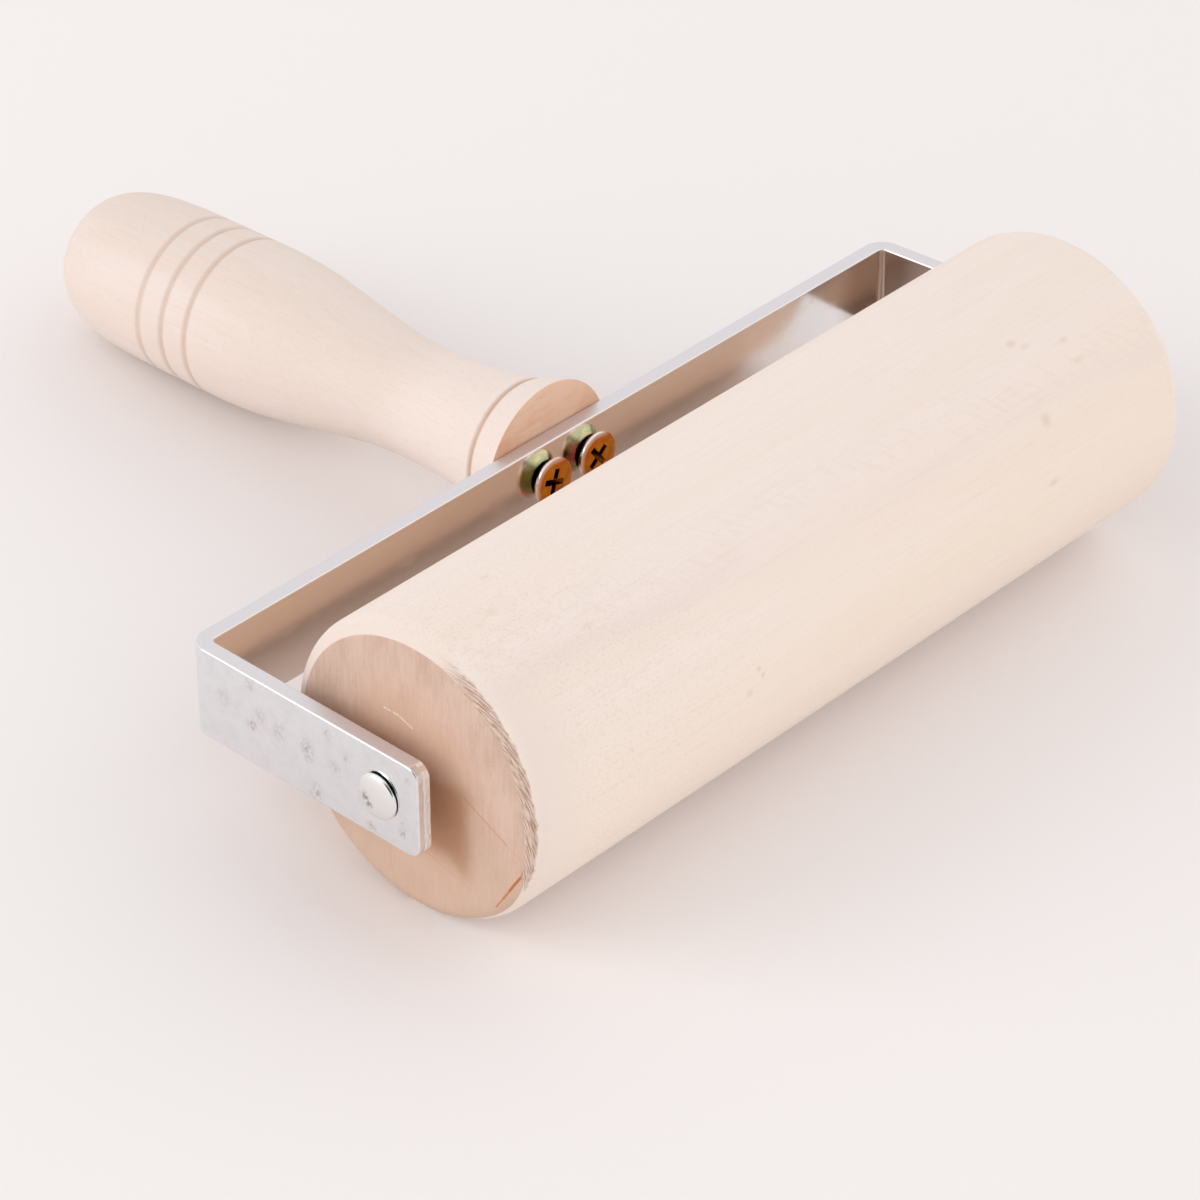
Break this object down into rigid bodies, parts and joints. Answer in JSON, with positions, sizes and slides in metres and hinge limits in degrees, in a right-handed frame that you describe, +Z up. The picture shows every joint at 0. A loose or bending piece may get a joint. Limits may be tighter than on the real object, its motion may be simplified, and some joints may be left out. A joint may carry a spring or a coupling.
{
  "type": "hand dough roller",
  "caption": "Plain wooden roller turning on pins in a bent steel bracket with a turned wooden handle, for rolling out dough or pastry by hand.",
  "frame": {"origin": "middle of the part's box, on the surface that it rests on", "axes": "+X along the roller, +Y from the roller to the handle, +Z up"},
  "size_m": [0.1638, 0.1654, 0.048],
  "materials": {
    "roller_wood": "sanded bare beech or birch, fine straight grain",
    "handle_wood": "turned and sanded bare wood with burnt grooves",
    "zinc_steel": "bright zinc plating with small stains",
    "pin_steel": "polished plated steel",
    "yellow_zinc": "yellow iridescent zinc plating"
  },
  "bodies": {
    "frame": {"bracket": "zinc_steel", "handle": "handle_wood", "handle_screw_left": "yellow_zinc", "handle_screw_right": "yellow_zinc"},
    "roller": {"roller": "roller_wood", "axle_pin_left": "pin_steel", "axle_pin_right": "pin_steel"}
  },
  "joints": [
    {"name": "roller_spin", "type": "hinge", "parent": "frame", "child": "roller", "pos_m": [0.0012, -0.05868, 0.024], "axis": [1, 0, 0], "continuous": true}
  ]
}
